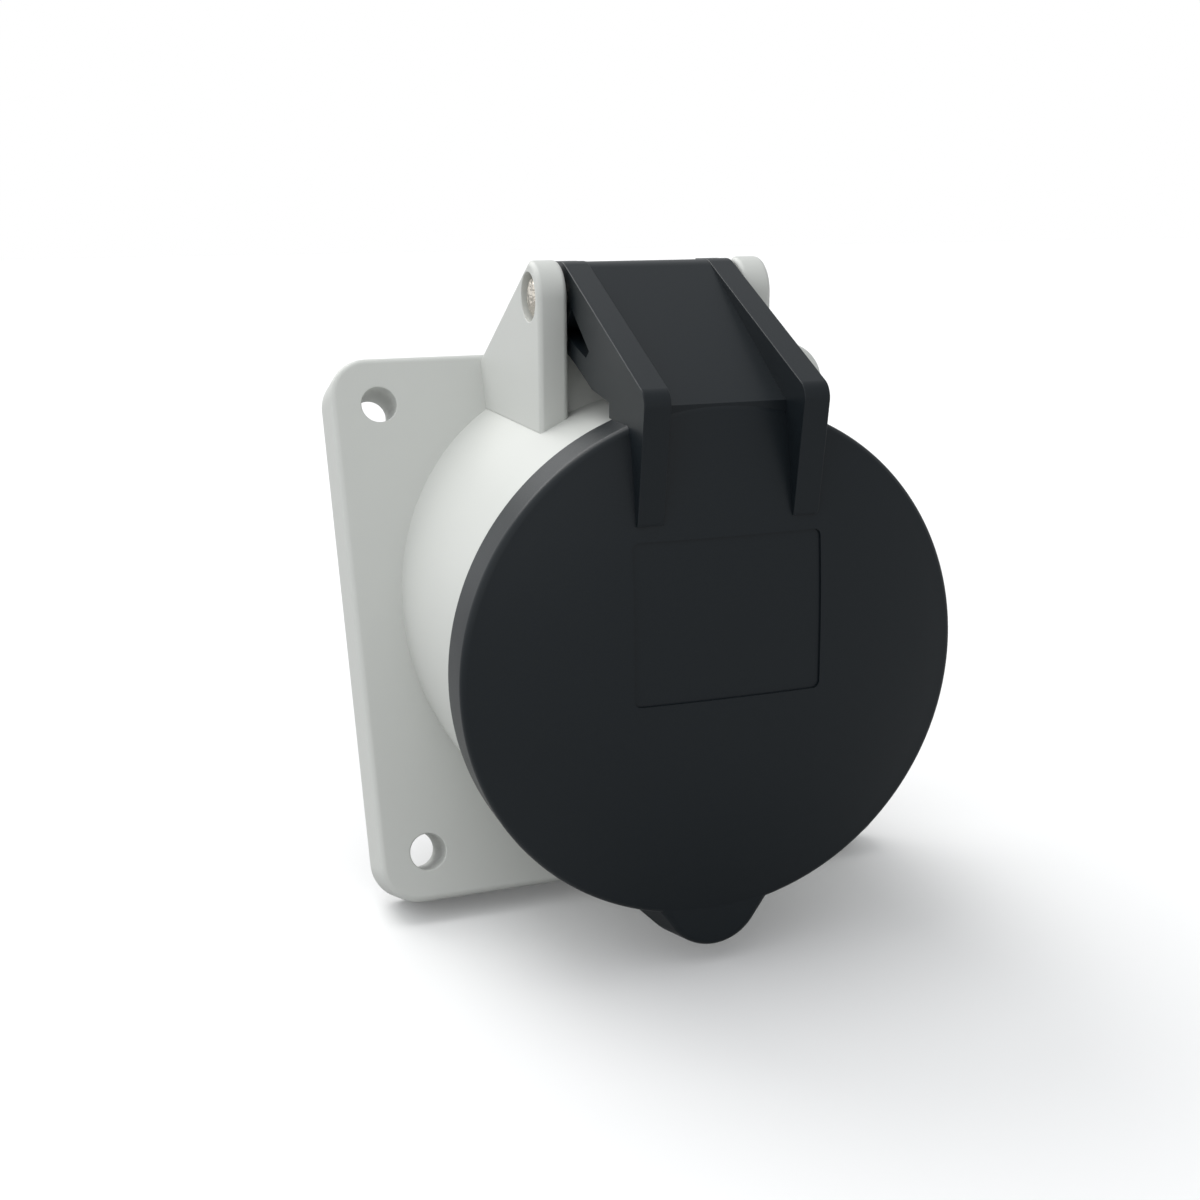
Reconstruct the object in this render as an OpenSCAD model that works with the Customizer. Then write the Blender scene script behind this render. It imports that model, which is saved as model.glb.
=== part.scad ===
// Angled panel socket outlet with a sprung hinged lid. Millimetres, +Z up.
// The flange's back face lies on y = 0 and the socket looks towards -Y, tilted down.

/* [Flange] */
// Width and height of the square flange
flange_w = 85; // [76:0.5:95]
// Thickness of the flange
flange_t = 10; // [9:0.5:12]
// Corner radius of the flange
flange_corner_r = 6; // [4:0.5:8]
// Bevel along the flange's front edge
flange_bevel = 0.8; // [0.4:0.1:1.2]
// Front wall of the flange, the back is hollow
flange_wall = 3.5; // [3:0.1:4.5]
// Wall round the hollow back
flange_side = 3; // [2.5:0.1:3.4]
// Fixing holes' distance from the flange's edges
bolt_inset = 7.5; // [7:0.1:9]
// Fixing hole diameter
bolt_hole_d = 5.5; // [5:0.1:6]
// Boss round each fixing hole
boss_d = 10; // [9.5:0.1:11]

/* [Collar] */
// Angle of the socket's axis below the flange's normal
tilt = 20; // [18:0.5:22]
// Height where the axis crosses the flange's front face
axis_z = 1.465; // [0.5:0.1:2.5]
// Distance of the collar from the flange's edges
collar_inset = 7.6; // [7:0.1:9]
// Wall of the collar
collar_wall = 3.15; // [2.6:0.05:3.6]
// Step from the collar down to the rim inside the lid
rim_step = 1.5; // [1.2:0.1:1.7]
// Mouth of the collar along its axis
mouth = 39.3; // [35:0.1:44]
// Length of the collar's end with its step
rim_len = 3.9; // [3.4:0.1:4.4]
// Keyway width in the bore, at six o'clock
key_w = 6; // [5:0.1:7]
// Depth of the keyway in the bore
key_depth = 1; // [0.8:0.05:1.1]
// Width of the ledge that the insert is clamped to
ledge_w = 5.9; // [5:0.1:6.5]
// Front face of the ledge
ledge_front = 3; // [2.5:0.1:3.5]
// Thickness of the ledge
ledge_t = 4; // [3.5:0.1:4.5]
// Wall behind the ledge
rear_wall = 2.5; // [2.3:0.1:2.8]

/* [Hinge] */
// Hinge pin above the lid's edge
pin_rise = 12.6; // [11.5:0.1:13.5]
// Hinge pin behind the lid's skirt
pin_behind = 21.4; // [19.5:0.1:23]
// Radius of the hinge pin
pin_r = 2; // [1.8:0.05:2.1]
// Radial clearance round the hinge pin
pin_clear = 0.05; // [0.02:0.01:0.08]
// Inner face of each ear from the middle
ear_in = 13.5; // [13.4:0.1:13.8]
// Thickness of each ear
ear_t = 4.4; // [4:0.1:5]
// Radius of the ear's head
ear_head_r = 5.1; // [4.9:0.1:5.3]
// Distance of the ear's back edge from the pin's centre
ear_back = 4.35; // [4.2:0.05:4.6]
// Clearance round the pin's head
head_play = 0.4; // [0.2:0.05:0.6]
// Counterbore depth in the ears
cbore_depth = 2; // [1.6:0.1:2.2]
// Radius of the pin's head and of the cap
head_r = 3.1; // [2.9:0.05:3.2]
// Radius of the lid's hinge knuckles
knuckle_r = 4.9; // [4.7:0.05:5]
// Back edge of the knuckle's heel, behind the pin
heel = 3.6; // [3.4:0.1:3.8]
// Gap between heel and stop when the lid is fully open
stop_gap = 0.2; // [0.15:0.05:0.4]
// Front face of the stop web behind the pin
stop_front = 3.6; // [3.5:0.05:3.9]
// Thickness of the stop web
stop_t = 4.5; // [3.5:0.1:5]

/* [Lid] */
// Overhang of the lid beyond the collar
lid_over = 1.5; // [1.2:0.1:1.9]
// How far the skirt reaches back over the collar's step
skirt_lap = 0.14; // [0:0.02:0.3]
// Front edge of the lid before the collar's mouth
lid_rise = 3.26; // [3.1:0.02:3.6]
// Rounding of the lid's front edge
lid_round = 1.15; // [0.8:0.05:1.4]
// Height of the crown on the lid's face
crown_h = 3.7; // [3.2:0.1:4]
// Flatness of the crown, two is a parabola
crown_n = 2.6; // [2.2:0.1:3]
// Thickness of the lid's face
lid_wall = 2.4; // [2:0.1:2.6]
// Clearance between the skirt and the rim
rim_play = 1.4; // [1.2:0.05:1.5]
// Clearance between the skirt's flared mouth and the collar
collar_play = 0.4; // [0.35:0.05:0.5]
// Thickness of the seal
seal_t = 1.6; // [1.4:0.1:1.8]
// Width of the seal's groove
groove_w = 3.1; // [2.8:0.1:3.3]
// Thickness of the rib that holds the seal
seal_rib_t = 1.1; // [0.9:0.1:1.4]
// Gap between seal and mouth with the lid shut
seal_gap = 0.3; // [0.3:0.05:0.4]
// Clearance between rib and ear
ear_play = 0.5; // [0.4:0.05:0.7]
// Thickness of each rib
rib_t = 3.7; // [3.4:0.1:4]
// Rib's front corner before the lid's front edge
peak_before = 5.64; // [5.2:0.02:6]
// Rib's front corner above the lid's edge
peak_above = 2.1; // [1.8:0.1:2.5]
// Rounding of the rib's front corner
rib_round = 2.5; // [1.5:0.1:3]
// Lower end of the rib below the lid's edge
rib_drop = 15.3; // [14:0.1:16.5]
// Rib's front edge at its lower end, before the lid's front edge
foot_before = 2.94; // [2.8:0.02:3.3]
// Thickness of the sloping cover
cover_t = 1.3; // [1.1:0.05:1.35]
// Width of the bare label recess
label_w = 27.2; // [25:0.2:28]
// Height of the label recess
label_h = 22.3; // [20:0.1:24]
// Distance of the label recess below the ribs
label_gap = 2; // [1.5:0.1:3]
// Depth of the label recess
label_depth = 0.3; // [0.25:0.05:0.5]
// Front face of the finger tab behind the lid's front edge
tab_set = 0.11; // [0.05:0.01:0.3]
// Depth of the finger tab from front to back
tab_t = 5.25; // [4.5:0.05:5.8]
// Tip of the finger tab beyond the lid's edge
tab_out = 5.2; // [4.6:0.1:5.6]
// How much further the tab's back reaches out
tab_flare = 0.8; // [0.5:0.1:1]
// Tip radius on the tab's front face
tab_front_r = 6.8; // [6.4:0.1:7]
// Tip radius on the tab's wider back
tab_rear_r = 10.4; // [9.8:0.1:10.8]
// Lean of the tab's sides on its front face
tab_front_lean = 32.8; // [30:0.2:35]
// Lean of the tab's sides on its back
tab_rear_lean = 45; // [42:0.5:46]

/* [Spring] */
// Wire diameter of the lid's spring
wire_d = 0.8; // [0.7:0.02:0.85]
// Clearance between the coil and the pin
coil_play = 0.4; // [0.3:0.02:0.45]
// Number of turns
turns = 9; // [6:1:10]
// Distance between turns
coil_pitch = 1.1; // [1:0.05:1.3]

/* [Insert] */
// Space round the carrier for the plug's shroud
shroud_gap = 3.75; // [3.4:0.05:4]
// Carrier's front face behind the collar's mouth
carrier_set = 7.3; // [6.5:0.1:8]
// Clearance round the carrier's base flange
base_play = 0.25; // [0.15:0.05:0.4]
// Thickness of the carrier's base flange
carrier_base_t = 4; // [3:0.1:5]
// Contacts' distance from the carrier's edge
contact_inset = 10; // [9.5:0.1:10.5]
// Inner radius of a phase sleeve
phase_r = 2.55; // [2.5:0.01:2.6]
// Inner radius of the earth sleeve
earth_r = 3.55; // [3.5:0.01:3.6]
// Wall of a contact sleeve
sleeve_wall = 1.05; // [0.9:0.05:1.15]
// Sleeves' front ends behind the carrier's face
sleeve_set = 1.5; // [1.2:0.1:2]
// Length of the slots in the sleeves
slot_len = 16.5; // [14:0.5:18]
// Width of the slots in the sleeves
slot_w = 0.7; // [0.5:0.05:0.9]
// Radial thickness of the spring rings
ring_t = 0.5; // [0.4:0.02:0.55]
// Length of the spring rings
ring_len = 4; // [3:0.1:5]
// Spring rings' back ends behind the sleeves' front ends
ring_set = 8.5; // [7:0.1:10]
// Space round the terminal block for its screws
block_gap = 4.2; // [3.8:0.1:4.8]
// Back face of the terminal block
block_back = -20; // [-22:0.5:-19]
// Back end of the contacts' terminal bodies
body_back = -16; // [-17:0.1:-15]
// Radius of the wire bores
wire_r = 2.1; // [1.9:0.05:2.2]
// Radius of the terminal screws' shanks
screw_r = 1.95; // [1.8:0.01:1.97]
// Carrier screws from the middle
carrier_screw_x = 6.5; // [6:0.1:7]
// Back end of the carrier screws
carrier_screw_back = -13; // [-15:0.5:-11]
// Depth of the carrier screws' counterbores
seat_depth = 4; // [3.5:0.1:5]

/* [Hidden] */
$fn = 96;
eps = 0.01;
earth_angle = 210;
step_angle = 72;
gasket_t = 2.5;
gasket_play = 0.2;
gasket_ledge = 1.2;
// Sizes that follow from the ones above, from the flange to the insert
bolt_pitch = flange_w - 2 * bolt_inset;
collar_r = flange_w / 2 - collar_inset;
collar_bore_r = collar_r - collar_wall;
rim_r = collar_r - rim_step;
rim_start = mouth - rim_len;
key_r = collar_bore_r + key_depth;
rear_bore_r = collar_r - rear_wall;
ledge_r = rear_bore_r - ledge_w;
ledge_back = ledge_front - ledge_t;
carrier_r = collar_bore_r - shroud_gap;
carrier_base_r = collar_bore_r - base_play;
carrier_front = mouth - carrier_set;
contact_pitch_r = carrier_r - contact_inset;
sleeve_front = carrier_front - sleeve_set;
block_r = rear_bore_r - block_gap;
lid_r = collar_r + lid_over;
skirt_back = rim_start - skirt_lap;
lid_front = mouth + lid_rise;
skirt_in_r = rim_r + rim_play;
skirt_mouth_r = collar_r + collar_play;
seal_back = mouth + seal_gap;
groove_top = seal_back + seal_t;
seal_rib_out = skirt_in_r - groove_w;
seal_rib_in = seal_rib_out - seal_rib_t;
crown_r = lid_r - lid_round;
pin_b = lid_r + pin_rise;
pin_c = skirt_back - pin_behind;
ear_out = ear_in + ear_t;
cbore_r = head_r + head_play;
heel_up = knuckle_r - 0.1;
rib_out = ear_in - ear_play;
rib_in = rib_out - rib_t;
rib_peak_c = lid_front + peak_before;
rib_peak_b = lid_r + peak_above;
rib_low_b = lid_r - rib_drop;
rib_low_c = lid_front + foot_before;
label_high = rib_low_b - label_gap;
tab_face = lid_front - tab_set;
tab_back = tab_face - tab_t;
tab_tip = lid_r + tab_out;
tab_root = lid_r - 3.4;
coil_r = pin_r + wire_d / 2 + coil_play;
// Length of the cutters that pass right through
far = 2 * flange_w;
seal_opening_z = 0.5;
seal_opening_play = 0.7;
body_wall = 2.45;
sleeve_play = 0.7;
body_play = 0.1;
screw_c = -11;
screw_head_r = 3;
seat_play = 0.3;
bore_floor = 2;
ring_slit = 1.6;
ring_play = 0.02;
wire_play = 0.3;
carrier_screw_r = 1.45;
carrier_head_r = 2.9;
spring_leg_x = -6;
// Depth that a surface runs into the round one it meets
tuck = 0.08;

grey = [0.72, 0.74, 0.72];
black = [0.13, 0.14, 0.15];
steel = [0.75, 0.76, 0.78];
rubber = [0.08, 0.08, 0.08];
brass = [0.80, 0.66, 0.35];
insulator = [0.25, 0.26, 0.27];

// Collar axis as the local Z, upwards in the lid's plane as the local Y
module on_axis() translate([0, -flange_t, axis_z]) rotate([90 + tilt, 0, 0]) children();

// Side profile drawn as (along the axis, above the axis), extruded from x0 to x1
module side(x0, x1) on_axis() translate([x0, 0, 0]) rotate([0, -90, 0]) mirror([0, 0, 1])
    linear_extrude(height = x1 - x0) children();

// Clock position on the contact circle, seen from the front
module at_contact(i) on_axis() rotate([0, 0, -(earth_angle + i * step_angle)])
    translate([0, contact_pitch_r, 0]) children();

function crown(r) = lid_front + crown_h * (1 - pow(r / crown_r, crown_n));
function crown_points(r, n, drop) = concat(
    [for (i = [0 : n - 1]) [r * (n - i) / n, crown(r * (n - i) / n) - drop]], [[0, crown(r / n) - drop]]);
function arc(cx, cy, r, a0, a1, n) =
    [for (i = [0 : n]) [cx + r * cos(a0 + (a1 - a0) * i / n), cy + r * sin(a0 + (a1 - a0) * i / n)]];

// Exact square with rounded corners, standing on y = 0 and reaching to -t
module rounded_plate(w, r, t, bevel) {
    m = w - 2 * r;
    rotate([90, 0, 0]) linear_extrude(height = t - bevel) union() {
        square([m, w], center = true);
        square([w, m], center = true);
        for (x = [-m / 2, m / 2], z = [-m / 2, m / 2]) translate([x, z]) circle(r);
    }
    if (bevel > 0) {
        profile = [[-w / 2, 0], [w / 2, 0], [w / 2 - bevel, bevel], [-w / 2 + bevel, bevel]];
        translate([0, -t + bevel, 0]) rotate([90, 0, 0]) {
            translate([-m / 2, 0, 0]) rotate([90, 0, 90]) linear_extrude(height = m) polygon(profile);
            translate([0, m / 2, 0]) rotate([90, 0, 0]) linear_extrude(height = m) polygon(profile);
            for (x = [-m / 2, m / 2], z = [-m / 2, m / 2]) translate([x, z, 0])
                cylinder(h = bevel, r1 = r, r2 = r - bevel);
        }
    }
}

module bolt_holes(d, y0, y1) for (x = [-1, 1], z = [-1, 1])
    translate([x * bolt_pitch / 2, y1, z * bolt_pitch / 2]) rotate([90, 0, 0]) cylinder(h = y1 - y0, d = d);

// Outline of one ear: straight front, round head, straight back edge down to the flange
module ear_profile() {
    back_angle = 30.3;
    low = sqrt(pow(collar_r, 2) - pow(ear_out, 2)) - 0.5;
    foot = [pin_c - ear_back * sin(back_angle), pin_b + ear_back * cos(back_angle)];
    dir = [cos(back_angle), sin(back_angle)];
    top = acos(ear_back / ear_head_r);
    // Far enough to end inside the flange's front wall
    reach = (flange_wall / 2 + foot[0] * cos(tilt) + foot[1] * sin(tilt)) / cos(back_angle - tilt);
    polygon(concat(
        [[pin_c + ear_head_r, low]],
        arc(pin_c, pin_b, ear_head_r, 0, 90 + back_angle - top, 10),
        [foot - reach * dir, [foot[0] - reach * dir[0], low]]));
}

// What lies before the back of the flange's front wall
module ahead_of_wall() translate([-far / 2, -flange_t + flange_wall - far, -far / 2]) cube(far);

module housing() color(grey) difference() {
    union() {
        rounded_plate(flange_w, flange_corner_r, flange_t, flange_bevel);
        on_axis() rotate_extrude() polygon([[0, ledge_back], [collar_r, ledge_back],
            [collar_r, rim_start], [rim_r, rim_start + rim_step], [rim_r, mouth], [0, mouth]]);
        intersection() {
            on_axis() translate([0, 0, -collar_r]) cylinder(h = collar_r + ledge_front, r = collar_r);
            ahead_of_wall();
        }
        intersection() {
            for (s = [-1, 1]) side(s > 0 ? ear_in : -ear_out, s > 0 ? ear_out : -ear_in) ear_profile();
            ahead_of_wall();
        }
        // Web between the ears that stops the lid and takes the spring's fixed leg
        intersection() {
            on_axis() translate([-ear_in - 1, web_low, -far / 2]) cube([2 * ear_in + 2, far, far]);
            union() {
                translate([-ear_in - 1, stop_y, 0]) cube([2 * ear_in + 2, stop_t, stop_z]);
                translate([-rib_in + 1, stop_y, 0]) cube([2 * rib_in - 2, stop_t, seat_z]);
            }
        }
    }
    hollow_back();
    bolt_holes(bolt_hole_d, -flange_t - 1, 1);
    // Bores on the collar's axis
    on_axis() {
        translate([0, 0, ledge_front]) cylinder(h = far, r = collar_bore_r);
        translate([0, 0, ledge_back - 1]) cylinder(h = ledge_t + 2, r = ledge_r);
        translate([0, 0, ledge_back - far]) cylinder(h = far, r = rear_bore_r);
        intersection() {
            translate([0, 0, ledge_front]) cylinder(h = far, r = key_r);
            translate([-key_w / 2, -key_r - 1, ledge_front]) cube([key_w, key_r, far]);
        }
    }
    // Hinge bores
    side(-ear_out - 1, ear_out + 1) translate([pin_c, pin_b]) circle(pin_r + pin_clear);
    side(-ear_out - 1, -ear_out + cbore_depth) translate([pin_c, pin_b]) circle(cbore_r);
    side(ear_out - cbore_depth, ear_out + 1) translate([pin_c, pin_b]) circle(cbore_r);
}

// Hollow back with a ledge for the seal, leaving the collar and the four screw bosses standing
module hollow_back() difference() {
    union() {
        rounded_plate(flange_w - 2 * flange_side - 2 * gasket_ledge, flange_corner_r - flange_side,
            flange_t - flange_wall, 0);
        translate([0, eps, 0]) rounded_plate(flange_w - 2 * flange_side, flange_corner_r - flange_side,
            gasket_t + eps, 0);
    }
    on_axis() translate([0, 0, ledge_back]) cylinder(h = far, r = collar_r);
    bolt_holes(boss_d, -flange_t, 1);
}

pin_y = -flange_t - pin_b * sin(tilt) - pin_c * cos(tilt);
pin_z = axis_z + pin_b * cos(tilt) - pin_c * sin(tilt);
stop_y = pin_y + stop_front;
stop_z = pin_z - heel - stop_gap;
seat_z = pin_z - coil_r - wire_d / 2 - 0.03;
web_low = sqrt(pow(collar_bore_r, 2) - pow(ear_in + 1, 2)) - 0.2;

// Rib, arm and hinge knuckle of the lid as one side profile
module arm_profile() {
    rise = atan2(pin_b - rib_peak_b, rib_peak_c - pin_c);
    reach = sqrt(pow(pin_b - rib_peak_b, 2) + pow(rib_peak_c - pin_c, 2));
    slope = rise + asin(knuckle_r / reach);
    lean = atan2(rib_peak_c - rib_low_c, rib_peak_b - rib_low_b);
    turn = 90 - slope + lean;
    cut = rib_round * tan(turn / 2);
    cc = rib_peak_c - cut * sin(lean) - rib_round * cos(lean);
    cb = rib_peak_b - cut * cos(lean) + rib_round * sin(lean);
    difference() {
        polygon(concat(
            [[lid_front + 1.04, rib_low_b + 0.2], [rib_low_c - 0.5, rib_low_b], [rib_low_c, rib_low_b + 0.6]],
            arc(cc, cb, rib_round, -lean, 90 - slope, 6),
            [[pin_c + (knuckle_r - tuck) * sin(slope), pin_b + (knuckle_r - tuck) * cos(slope)],
            [pin_c, pin_b], [pin_c - 1.36, pin_b - 4.4], [pin_c - 1.36, pin_b - 6.7],
            [pin_c + 6.2, lid_r + 3.5], [pin_c + 13.6, lid_r + 0.65], [skirt_back - 0.8, lid_r - 0.3],
            [skirt_back - 0.8, lid_r - 2.4], [skirt_back + 0.14, lid_r - 2.4],
            [skirt_back + 0.14, lid_r - 2.7], [groove_top + 0.3, lid_r - 2.7]]));
        difference() {
            translate([pin_c, pin_b])
                polygon([[12.6, -6.8], [11.2, -7.8], [3.5, -5.7], [0, -4.8], [0, 0], [3.9, -0.7]]);
            translate([pin_c, pin_b]) circle(knuckle_r);
        }
    }
    translate([pin_c, pin_b]) circle(knuckle_r);
    translate([pin_c - heel, pin_b]) square([heel, heel_up]);
}

// Sloping cover between the ribs, wrapped round the spring at its upper end
module cover_profile() {
    front = [lid_front - 0.3, lid_r];
    root = lid_r - 1.8;
    wrap_r = knuckle_r - 0.1;
    reach = sqrt(pow(front[0] - pin_c, 2) + pow(pin_b - front[1], 2));
    slope = atan2(pin_b - front[1], front[0] - pin_c) + asin(wrap_r / reach);
    n = [sin(slope), cos(slope)];
    start = [pin_c, pin_b] + (wrap_r - tuck) * n;
    difference() {
        union() {
            polygon([start, front, [front[0], root], [front[0] - 1.2, root], front - cover_t * n,
                start - cover_t * n]);
            intersection() {
                translate([pin_c, pin_b]) circle(wrap_r);
                polygon([[pin_c, pin_b], [pin_c, pin_b] + 12 * n, [pin_c - 2, pin_b + 12]]);
            }
        }
        translate([pin_c, pin_b]) circle(wrap_r - cover_t);
    }
}

// Straight sides that lean in to a round tip
module tab_outline(r, tip, lean) {
    side_x = r * cos(lean) + (tip - r - tab_root + r * sin(lean)) * tan(lean);
    translate([0, r - tip]) circle(r, $fn = 48);
    polygon([[-side_x, -tab_root], [side_x, -tab_root], [r * cos(lean), r - tip - r * sin(lean)],
        [-r * cos(lean), r - tip - r * sin(lean)]]);
}

module finger_tab() hull() {
    translate([0, 0, tab_face - 0.4]) linear_extrude(height = 0.4)
        tab_outline(tab_front_r, tab_tip, tab_front_lean);
    translate([0, 0, tab_back]) linear_extrude(height = 0.3)
        tab_outline(tab_rear_r, tab_tip + tab_flare, tab_rear_lean);
}

module lid() color(black) difference() {
    union() {
        on_axis() rotate_extrude() polygon(concat(
            [[0, skirt_back], [lid_r - 0.3, skirt_back], [lid_r, skirt_back + 0.3]],
            arc(lid_r - lid_round, lid_front - lid_round, lid_round, 0, 75, 4),
            crown_points(crown_r, 12, 0)));
        for (s = [-1, 1]) side(s > 0 ? rib_in : -rib_out, s > 0 ? rib_out : -rib_in) arm_profile();
        side(-rib_in - 1, rib_in + 1) cover_profile();
        on_axis() finger_tab();
    }
    on_axis() rotate_extrude() polygon(concat(
        [[0, skirt_back - 5], [skirt_mouth_r, skirt_back - 5], [skirt_mouth_r, skirt_back + 0.9],
        [skirt_in_r, skirt_back + 1.5], [skirt_in_r, groove_top], [seal_rib_out, groove_top],
        [seal_rib_out, groove_top - 1], [seal_rib_in, groove_top - 1]],
        crown_points(seal_rib_in, 6, lid_wall)));
    // Bare label recess that follows the crown
    difference() {
        on_axis() translate([-label_w / 2, label_high - label_h, lid_front])
            cube([label_w, label_h, 2 * crown_h]);
        on_axis() rotate_extrude() polygon(concat([[0, mouth], [crown_r, mouth]],
            crown_points(crown_r, 12, label_depth)));
    }
    side(-rib_out - 1, rib_out + 1) translate([pin_c, pin_b]) circle(pin_r + pin_clear);
}

module lid_seal() color(rubber) on_axis() rotate_extrude() translate([seal_rib_out + 0.1, seal_back])
    square([skirt_in_r - seal_rib_out - 0.2, groove_top - seal_back]);

module hinge_pin() color(steel) on_axis() translate([-ear_out + cbore_depth, pin_b, pin_c])
    rotate([0, 90, 0]) {
        cylinder(h = 2 * ear_out - 2 * cbore_depth + 1.2, r = pin_r);
        rotate_extrude() polygon([[0, 0], [head_r, 0], [head_r, -0.7], [head_r - 0.3, -1.2],
            [head_r - 1, -1.6], [head_r - 2, -1.8], [0, -1.9]]);
    }

module pin_cap() color(steel) on_axis() translate([ear_out - cbore_depth, pin_b, pin_c])
    rotate([0, 90, 0]) difference() {
        rotate_extrude() polygon([[0, 0], [head_r, 0], [head_r, 0.8], [head_r - 0.3, 1.3],
            [head_r - 1, 1.7], [0, 1.9]]);
        translate([0, 0, -1]) cylinder(h = 2.25, r = pin_r + 0.02);
    }

// Torsion spring swept along its centre line: fixed leg on the web, coil, moving leg on the lid
spring_n = 20;
spring_steps = turns * spring_n;
leg_back = 5.4;
leg_x = spring_leg_x + coil_pitch * turns;
leg_end = [leg_x, sqrt(pow(lid_r, 2) - pow(leg_x, 2)) + wire_d / 2 + 0.03, skirt_back + 1.94];
leg_reach = sqrt(pow(pin_b - leg_end[1], 2) + pow(leg_end[2] - pin_c, 2));
coil_start = -90 + tilt;
coil_end = 360 * turns - acos(coil_r / leg_reach) - atan2(pin_b - leg_end[1], leg_end[2] - pin_c);
function coil(i) = let (a = coil_start + (coil_end - coil_start) * i / spring_steps)
    [spring_leg_x + coil_pitch * turns * i / spring_steps, pin_b + coil_r * sin(a), pin_c + coil_r * cos(a)];
function leg_point(t) = coil(spring_steps) + t * (leg_end - coil(spring_steps));
spring_path = concat(
    [for (d = [leg_back, leg_back / 2]) coil(0) - d * [0, sin(tilt), cos(tilt)]],
    [for (i = [0 : spring_steps]) coil(i)], [leg_point(0.5), leg_end]);
function unit(v) = v / norm(v);
function tangent(p, i) = unit(p[min(i + 1, len(p) - 1)] - p[max(i - 1, 0)]);
module swept_wire(p, r, n) {
    points = [for (i = [0 : len(p) - 1]) let (t = tangent(p, i), u = unit(cross(t, [1, 0, 0])),
        v = cross(t, u)) for (k = [0 : n - 1]) p[i] + r * (cos(360 * k / n) * u + sin(360 * k / n) * v)];
    walls = [for (i = [0 : len(p) - 2], k = [0 : n - 1])
        [i * n + k, i * n + (k + 1) % n, (i + 1) * n + (k + 1) % n, (i + 1) * n + k]];
    start = [[for (k = [0 : n - 1]) n - 1 - k]];
    end = [[for (k = [0 : n - 1]) (len(p) - 1) * n + k]];
    polyhedron(points, concat(walls, start, end), convexity = 8);
}
module lid_spring() color(steel) on_axis() swept_wire(spring_path, wire_d / 2, 8);

module contact_carrier() color(insulator) difference() {
    on_axis() {
        rotate_extrude() polygon([[0, ledge_back], [ledge_r - 0.3, ledge_back],
            [ledge_r - 0.3, ledge_front], [carrier_base_r, ledge_front],
            [carrier_base_r, ledge_front + carrier_base_t], [carrier_r, ledge_front + carrier_base_t],
            [carrier_r, carrier_front - 0.6], [carrier_r - 0.6, carrier_front], [0, carrier_front]]);
        // Key tongue in the keyway
        intersection() {
            translate([0, 0, ledge_front]) cylinder(h = carrier_base_t, r = key_r - 0.25);
            translate([-key_w / 2 + 0.2, -key_r - 1, ledge_front]) cube([key_w - 0.4, key_r, carrier_base_t]);
        }
    }
    for (i = [0 : 4]) at_contact(i) {
        pin = i == 0 ? earth_r : phase_r;
        outer = pin + sleeve_wall;
        translate([0, 0, ledge_back - 1]) cylinder(h = sleeve_front + 0.2 - ledge_back + 1,
            r = outer + sleeve_play);
        translate([0, 0, sleeve_front])
            cylinder(h = carrier_front - sleeve_front + 0.01, r1 = pin + 0.35, r2 = pin + 0.95);
        translate([0, 0, ledge_back - 1]) cylinder(h = -ledge_back + 1, r = pin + body_wall + body_play);
    }
    on_axis() for (x = [-carrier_screw_x, carrier_screw_x]) translate([x, 0, 0]) {
        translate([0, 0, ledge_back - 1]) cylinder(h = far, r = carrier_screw_r + 0.25);
        translate([0, 0, carrier_front - seat_depth]) cylinder(h = far, r = carrier_head_r + 0.2);
    }
}

module terminal_block() color(insulator) difference() {
    on_axis() translate([0, 0, block_back]) cylinder(h = ledge_back - block_back, r = block_r);
    for (i = [0 : 4]) at_contact(i) {
        pin = i == 0 ? earth_r : phase_r;
        translate([0, 0, body_back]) cylinder(h = far, r = pin + body_wall + body_play);
        translate([0, 0, block_back - 1]) cylinder(h = body_back - block_back + 2, r = wire_r + wire_play);
        translate([0, pin + body_wall - 1, screw_c]) rotate([-90, 0, 0])
            cylinder(h = far, r = screw_head_r + seat_play);
    }
    on_axis() for (x = [-carrier_screw_x, carrier_screw_x])
        translate([x, 0, carrier_screw_back - 1]) cylinder(h = far, r = carrier_screw_r + 0.05);
}

// Turned contact: slotted sleeve in front, terminal body with wire bore and tapped hole behind
module contact(i) color(brass) at_contact(i) difference() {
    pin = i == 0 ? earth_r : phase_r;
    union() {
        cylinder(h = sleeve_front, r = pin + sleeve_wall);
        translate([0, 0, body_back]) cylinder(h = -body_back, r = pin + body_wall);
    }
    translate([0, 0, bore_floor]) cylinder(h = sleeve_front, r = pin);
    for (a = [0, 90]) rotate([0, 0, a]) translate([-2 * earth_r, -slot_w / 2, sleeve_front - slot_len])
        cube([4 * earth_r, slot_w, 2 * slot_len]);
    translate([0, 0, body_back - 1]) cylinder(h = 1 - body_back - 5, r = wire_r);
    translate([0, 0, screw_c]) rotate([-90, 0, 0]) cylinder(h = 2 * (pin + body_wall), r = screw_r + 0.03);
}

module sleeve_spring(i) color(steel) at_contact(i) difference() {
    pin = i == 0 ? earth_r : phase_r;
    inner = pin + sleeve_wall + ring_play;
    back = sleeve_front - ring_set;
    translate([0, 0, back]) cylinder(h = ring_len, r = inner + ring_t);
    translate([0, 0, back - 1]) cylinder(h = ring_len + 2, r = inner);
    rotate([0, 0, 45]) translate([0, -ring_slit / 2, back - 1]) cube([2 * inner, ring_slit, ring_len + 2]);
}

module terminal_screw(i) color(steel) at_contact(i) translate([0, 0, screw_c]) rotate([-90, 0, 0]) {
    pin = i == 0 ? earth_r : phase_r;
    face = pin + body_wall;
    difference() {
        union() {
            translate([0, 0, 0.6]) cylinder(h = face, r = screw_r);
            translate([0, 0, face + 0.3]) cylinder(h = 2.2, r = screw_head_r);
        }
        translate([-5, -0.4, face + 1.5]) cube([10, 0.8, 5]);
    }
}

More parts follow.
